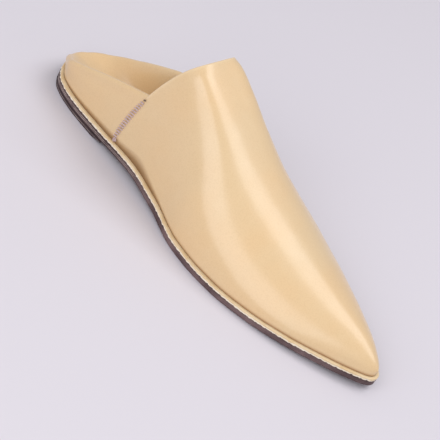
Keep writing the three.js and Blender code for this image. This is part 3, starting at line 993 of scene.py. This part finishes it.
def ways_out(points, faces):
    """Unit normals of the points: each face's normal, by its angle at the point. A corner that is
    drawn in to the tip has no angle, and counts a little."""
    corners = points[faces]
    diagonal = corners[:, 2] - corners[:, 0], corners[:, 3] - corners[:, 1]
    face = np.cross(*diagonal)
    face /= np.maximum(np.linalg.norm(face, axis=1, keepdims=True), TINY)
    total = np.zeros_like(points)
    for k in range(4):
        ahead = corners[:, (k + 1) % 4] - corners[:, k]
        behind = corners[:, (k + 3) % 4] - corners[:, k]
        size = np.linalg.norm(ahead, axis=1) * np.linalg.norm(behind, axis=1)
        cosine = np.einsum("ij,ij->i", ahead, behind) / np.maximum(size, TINY)
        angle = np.where(size > NO_LENGTH, np.arccos(np.clip(cosine, -1, 1)), DRAWN_IN)
        np.add.at(total, faces[:, k], face * angle[:, None])
    return unit(total)


def rim_directions(points, normals, rim):
    """Out of the leather's edge, in its own plane: along the rim x the way out of the face."""
    closed = points[rim[:-1]]
    along = np.roll(closed, -2, axis=0) - np.roll(closed, 2, axis=0)
    out = unit(np.cross(along, normals[rim[:-1]]))
    if out[len(vamp_turns()) // 2 - SEAM_ROWS, 0] > 0:
        out = -out
    return np.vstack([out, out[:1]])


def outer_face(turns, around):
    """Both grids as one sheet: its points, relief and faces, and the numbers of each grid."""
    vamp, at = vamp_grid(turns)
    back = back_grid(turns[: SEAM_ROWS + 1], around)
    faces = np.vstack([
        grid_faces(*vamp.shape[:2], flip=True),
        grid_faces(*back.shape[:2], offset=at.size, flip=True),
    ])
    relief = np.concatenate([
        vamp_relief(at, turns[:, None]).ravel(),
        back_relief(around[:, None], WALL_SHARE[None]).ravel(),
    ])
    points = np.vstack([vamp.reshape(-1, 3), back.reshape(-1, 3)])
    first, same = shared_places(points)
    vamp_ids = same[: at.size].reshape(at.shape)
    back_ids = same[at.size:].reshape(back.shape[:2])
    return points[first], relief[first], same[faces], vamp_ids, back_ids, at, first


def rims(vamp_ids, back_ids):
    """The sheet's two edges as closed rows of numbers: along the welt, and round the mouth."""
    foot = np.concatenate([vamp_ids[0], vamp_ids[-1, -2::-1], back_ids[-2::-1, 0]])
    mouth = np.concatenate([
        vamp_ids[SEAM_ROWS : len(vamp_ids) - SEAM_ROWS, 0],
        back_ids[-1, SEAM_ROWS + 1 :],
        back_ids[-2::-1, -1],
        back_ids[0, -2 : SEAM_ROWS - 1 : -1],
    ])
    return foot, mouth


def rounded_rim(outer, inner, normals, mouth, swing):
    """Half an ellipse from the outer face over the cut edge to the inner one."""
    edge_out = rim_directions(outer, normals, mouth)[None]
    middle = ((outer + inner) / 2)[mouth][None]
    across = np.cos(swing) / 2 * normals[mouth][None]
    return middle + WALL * (across + RIM_STAND * np.sin(swing) * edge_out)


def closing_faces(count, foot, mouth, rows):
    """Faces over the rounded rim, whose points come after both faces', and along the welt."""
    rim_ids = 2 * count + np.arange(rows * len(mouth)).reshape(rows, len(mouth))
    rim_ids[:, -1] = rim_ids[:, 0]
    strip = np.vstack([mouth, rim_ids, mouth + count])
    over = np.stack([strip[:-1, :-1], strip[:-1, 1:], strip[1:, 1:], strip[1:, :-1]], axis=-1)
    under = np.column_stack([foot[1:], foot[:-1], foot[:-1] + count, foot[1:] + count])
    return np.vstack([over.reshape(-1, 4), under])


def upper_marks(turns, around, at, points, first):
    """How much a point lies in the painted shade along the welt, in the painted shade of the seam's
    valley and on the collar's lip.
    """
    climb = np.minimum(turns, 180 - turns)[:, None] / SEAM_TURN
    cross = at - vamp_start(turns)[:, None]
    back_cross = (back_station(around) - SEAM_FOOT)[:, None]
    to_edge = np.where(WALL_SHARE >= 2, (3 - WALL_SHARE) * FLAP_LENGTH, NOWHERE_NEAR)[None]
    # Painted shade in the seam's valley, on the vamp beside the seam and on the back wall behind it.
    valley = np.concatenate([
        (bell(cross, 0, VALLEY_SHADE_WIDTH) * (1 - ease(0.97, 1.04, climb))).ravel(),
        (bell(back_cross, 0, VALLEY_SHADE_WIDTH) * (WALL_SHARE <= 1)[None]).ravel(),
    ])[first]
    to_rim = np.concatenate([
        np.where(climb > 1, cross, NOWHERE_NEAR).ravel(),
        np.repeat(to_edge, len(around), axis=0).ravel(),
    ])[first]
    # Painted shade along the welt, darkest at the upper's lower edge.
    height = points[:, 2] - upper_seat(points[:, 0])
    feather_shade = bell(np.maximum(height, 0), 0, FEATHER_SHADE_WIDTH)
    return feather_shade, valley, np.exp(-np.maximum(to_rim, 0) / LIP)


def build_upper():
    turns, around = vamp_turns(), back_columns()
    points, relief, faces, vamp_ids, back_ids, at, first = outer_face(turns, around)
    foot, mouth = rims(vamp_ids, back_ids)
    normals = ways_out(points, faces)
    normals[foot, 2] = 0
    normals[foot] = unit(normals[foot])
    outer = points + normals * relief[:, None]
    inner = outer - normals * WALL
    swing = np.linspace(0, math.pi, RIM_ROWS + 1)[1:-1][:, None, None]
    rounded = rounded_rim(outer, inner, normals, mouth, swing)
    count = len(points)
    closing = closing_faces(count, foot, mouth, len(rounded))
    feather_shade, valley, lip = upper_marks(turns, around, at, points, first)
    rim_count = len(rounded) * len(mouth)
    turned_in = np.repeat(ease(0, math.pi, swing[:, 0, 0]), len(mouth))
    # The first two values carry painted shade, along the welt and in the seam's valley; lip is the
    # paler cut edge, and flesh is the back of the leather.
    values = {
        "feather_shade": np.concatenate([feather_shade, feather_shade, np.zeros(rim_count)]),
        "valley": np.concatenate([valley, np.zeros(count + rim_count)]),
        "lip": np.concatenate([lip, lip, np.ones(rim_count)]),
        "flesh": np.concatenate([np.zeros(count), np.ones(count), turned_in]),
    }
    everything = np.vstack([outer, inner, rounded.reshape(-1, 3)])
    all_faces = np.vstack([faces, faces[:, ::-1] + count, closing])
    return make_piece(
        "upper_shell", everything, all_faces, UPPER_LEATHER, "upper", values
    )


build_upper()

# %% [markdown]
# Each side seam is closed by hand with a ladder of short bars in a mauve thread. A bar is a tube
# swept across the seam: it comes out of the leather, arches over the valley and goes back in. The
# thread is two strands twisted together, so the tube's section is a lobed one that turns along
# it. The bars are longest half way up. A small knot ends the thread at the welt, and a single
# dark tack holds the top.

# %% Thread
def thread_finish(name, deep, pale):
    finish = Finish(name, 0.6, 0.3, Sheen_Weight=0.25, Sheen_Roughness=0.5)
    strand = finish.noise(0.35, 3, 0.7)
    colour = finish.blend(finish.ramp(strand, 0.3, 0.7), deep, pale)
    return finish.done(colour, finish.bump(strand, 0.08, 0.8))


THREAD = thread_finish("mauve_thread", srgb(178, 149, 149), srgb(216, 193, 191))
DARK_THREAD = thread_finish("dark_thread", srgb(70, 52, 48), srgb(104, 80, 72))


# A small step, in degrees up the seam and in millimetres across it.
STEP = 0.2


def beside_seam(side, cross, turn):
    """The upper's face `cross` mm in front of a seam (or behind it), `turn` degrees up."""
    over = np.where(side < 0, turn, 180 - turn)
    front = arch_point(vamp_start(turn) + np.maximum(cross, 0), over)
    behind = (SEAM_FOOT - LEDGE + np.minimum(cross, 0)) / (SEAM_FOOT - LEDGE)
    wall = wall_point(side * np.arccos(1 - behind) * 2 / math.pi, turn)
    return np.where((cross >= 0)[..., None], front, wall)


def seam_frame(side, cross, turn):
    """Place, way out, way up the seam and way across it, by small steps on the face."""
    side, cross, turn = np.broadcast_arrays(*(np.asarray(v, float) for v in (side, cross, turn)))
    place = beside_seam(side, cross, turn)
    up = unit(beside_seam(side, cross, turn + STEP) - place)
    across = unit(beside_seam(side, cross + STEP, turn) - beside_seam(side, cross - STEP, turn))
    return place, unit(np.cross(across, up) * -side[..., None]), up, across


BAR_STEPS = 14
BAR_SIDES = 12
THREAD_RADIUS = 0.42
BAR_RISE = 0.50
BAR_SINK = 0.55
BAR_BASE = 0.12
STRAND_LOBES = 0.13
STRAND_TWIST = 8
SEAM_SPAN = (0.08, 0.95)


def circle(sides):
    """Evenly spaced angles once round, without the last, which is the first again."""
    return np.linspace(0, 2 * math.pi, sides + 1)[:-1]


def bars(side, turn, reach, tilt, radius=THREAD_RADIUS):
    """Tubes (bars x steps x sides) across the seam, one for each row of the given columns."""
    side, turn, reach, tilt = (np.asarray(v, float)[:, None] for v in (side, turn, reach, tilt))
    v = np.linspace(-1, 1, BAR_STEPS + 1)[None]
    place, out, up, _ = seam_frame(side, reach * v, turn)
    lift = BAR_RISE * np.sqrt(1 - v**4) - BAR_SINK * np.abs(v) ** 6 - BAR_BASE
    path = place + out * lift[..., None] + up * (tilt * v)[..., None]
    phi = circle(BAR_SIDES)[None, None, :, None]
    twist = np.cos(2 * phi - STRAND_TWIST * v[..., None, None])
    thick = radius * (1 - np.abs(v) ** 12)[..., None, None] * (1 + STRAND_LOBES * twist)
    ring = 0.8 * np.cos(phi) * out[:, :, None] + 1.15 * np.sin(phi) * up[:, :, None]
    return path[:, :, None] + thick * ring


def tube_faces(count, steps, sides, close=False):
    """Quads of `count` separate tubes, each steps x sides, as one array."""
    one = grid_faces(steps, sides, close_rows=close, close_columns=True)
    return (one[None] + (np.arange(count) * steps * sides)[:, None, None]).reshape(-1, 4)


def build_stitches():
    """Bars on both seams, longest half way up, each a little askew."""
    level = (np.arange(STITCHES) + 0.5) / STITCHES
    turn = np.tile(seam_turn(mix(*SEAM_SPAN, level)), 2)
    reach = np.tile(STITCH_REACH * (0.55 + 0.45 * np.sin(math.pi * level) ** 0.6), 2)
    side = np.repeat([-1.0, 1.0], STITCHES)
    uneven = 0.18 * np.sin(2.4 * np.arange(2 * STITCHES)) + 0.22
    tubes = bars(side, turn, reach, uneven)
    faces = tube_faces(2 * STITCHES, BAR_STEPS + 1, BAR_SIDES)
    return make_piece("side_seam_stitches", tubes.reshape(-1, 3), faces, THREAD)


TACK_PLACE = 0.985
TACK_REACH = 0.9
TACK_TILT = 0.3
TACK_RADIUS = 0.36


def build_top_tacks():
    both = np.ones(2)
    turn = seam_turn(TACK_PLACE) * both
    tubes = bars([-1, 1], turn, TACK_REACH * both, TACK_TILT * both, radius=TACK_RADIUS)
    faces = tube_faces(2, BAR_STEPS + 1, BAR_SIDES)
    return make_piece("seam_top_tacks", tubes.reshape(-1, 3), faces, DARK_THREAD)


KNOT_STEPS = 96
KNOT_SIDES = 10
KNOT_SIZE = 0.40
KNOT_THREAD = 0.75 * THREAD_RADIUS
KNOT_ASIDE = 1.1
KNOT_PLACE = 0.045
KNOT_STAND = 0.35


def build_knots():
    """A trefoil, (2 + cos 3t) round twice while sin 3t weaves over and under, as a tube."""
    t = circle(KNOT_STEPS)
    loop = 2 + np.cos(3 * t)
    trefoil = np.column_stack([loop * np.cos(2 * t), loop * np.sin(2 * t), 0.8 * np.sin(3 * t)])
    along = unit(np.roll(trefoil, -1, axis=0) - np.roll(trefoil, 1, axis=0))
    a = unit(np.cross(along, [0, 0, 1.0]))
    b = np.cross(along, a)
    phi = circle(KNOT_SIDES)[None, :, None]
    ring = np.cos(phi) * a[:, None] + np.sin(phi) * b[:, None]
    tube = trefoil[:, None] * KNOT_SIZE + KNOT_THREAD * ring
    place, out, up, across = seam_frame([-1, 1], KNOT_ASIDE, seam_turn(KNOT_PLACE))
    knots = (place + KNOT_STAND * out)[:, None, None] + sum(
        tube[None, ..., k, None] * axis[:, None, None] for k, axis in enumerate((across, up, out))
    )
    faces = tube_faces(2, KNOT_STEPS, KNOT_SIDES, close=True)
    return make_piece("seam_knots", knots.reshape(-1, 3), faces, THREAD)


build_stitches()
build_top_tacks()
build_knots()

# %% [markdown]
# The slipper stands on a plain pale floor. The floor is wide enough to fill the view from every
# side, and its faint unevenness keeps it from looking like a drawing.

# %% Floor
FLOOR_HALF = 6.0
FLOOR_COLOUR = srgb(213, 208, 215)
FLOOR_LIGHT = srgb(218, 213, 219)


def floor_finish():
    finish = Finish("pale_floor", 0.62, 0.25)
    cloud = finish.ramp(finish.noise(400, 2, 0.5), 0.3, 0.7, 0, 0.3)
    colour = finish.blend(cloud, FLOOR_COLOUR, FLOOR_LIGHT)
    return finish.done(colour, finish.bump(finish.noise(1.5, 3, 0.6), 0.03, 0.3))


floor_mesh = bpy.data.meshes.new("floor")
corners = [(x * FLOOR_HALF, y * FLOOR_HALF, 0) for x, y in ((-1, -1), (1, -1), (1, 1), (-1, 1))]
floor_mesh.from_pydata(corners, [], [(0, 1, 2, 3)])
floor_mesh.materials.append(floor_finish())
floor = into_scene("floor", floor_mesh)

# %% [markdown]
# The camera looks down on the little toe's side, from a little towards the toe, and is rolled so
# that the toe points down. Its three axes come from those three angles. It aims beside the middle
# of the slipper and stands a metre away, with a long lens, as for a small product.

# %% Camera
AZIMUTH, ELEVATION, ROLL = np.radians([23.69, 34.19, -32.65])
DISTANCE = 1.0
LENS = 146
AIM_HEIGHT = 30
AIM_RIGHT, AIM_UP = -8.4, -19.5

level_right = np.array([math.cos(AZIMUTH), math.sin(AZIMUTH), 0])
level_away = np.array([math.sin(AZIMUTH), -math.cos(AZIMUTH), 0])
away = math.cos(ELEVATION) * level_away + math.sin(ELEVATION) * np.array([0, 0, 1])
plumb_up = np.cross(away, level_right)
right = math.cos(ROLL) * level_right - math.sin(ROLL) * plumb_up
upward = math.sin(ROLL) * level_right + math.cos(ROLL) * plumb_up


def looking(place, target, up):
    """A matrix at place whose -Z looks at target and whose Y is as near to up as it can be."""
    back = unit(place - target)
    side = unit(np.cross(up, back))
    turned = np.column_stack([side, np.cross(back, side), back])
    return Matrix.Translation(Vector(place)) @ Matrix(turned.tolist()).to_4x4()


middle = onto_frame([LENGTH / 2, 0, AIM_HEIGHT])
camera_data = bpy.data.cameras.new("camera")
camera_data.lens = LENS
camera = into_scene("camera", camera_data)
stand = middle + DISTANCE * away
camera.matrix_world = looking(stand, middle + (AIM_RIGHT * right + AIM_UP * upward) * MM, upward)
bpy.context.scene.camera = camera
print("camera at", [round(float(v), 3) for v in stand])

# %% [markdown]
# The light is soft. One wide panel hangs over the far side and makes the long highlight on the
# shoulder of the vamp. A second stands on the little toe's side, opens the shadows and gives the
# wall there its own soft sheen. The pale room does the rest.

# %% Lights
def panel(name, offset, size, power, colour=(1, 1, 1)):
    """A soft rectangular lamp that hangs `offset` metres from the slipper and faces it."""
    data = bpy.data.lights.new(name, "AREA")
    data.shape = "RECTANGLE"
    data.size, data.size_y = size
    data.energy = power
    data.color = colour
    lamp = into_scene(name, data)
    lamp.matrix_world = looking(middle + np.array(offset), middle, np.array([0.0, 1.0, 0.0]))
    return lamp


ROOM_COLOUR = (0.92, 0.92, 0.95, 1)
ROOM_STRENGTH = 0.6

key = panel("key_panel", (0.36, 0.52, 1.05), (0.95, 0.62), 6)
fill = panel("fill_panel", (0.1, -1.1, 0.8), (1.4, 1.0), 10.5, (0.97, 0.98, 1.0))
world = bpy.data.worlds.new("pale_room")
world.use_nodes = True
room = world.node_tree.nodes["Background"]
room.inputs["Color"].default_value = ROOM_COLOUR
room.inputs["Strength"].default_value = ROOM_STRENGTH
bpy.context.scene.world = world
bpy.context.scene.view_settings.view_transform = "Standard"
print("lights:", [lamp.name for lamp in (key, fill)])
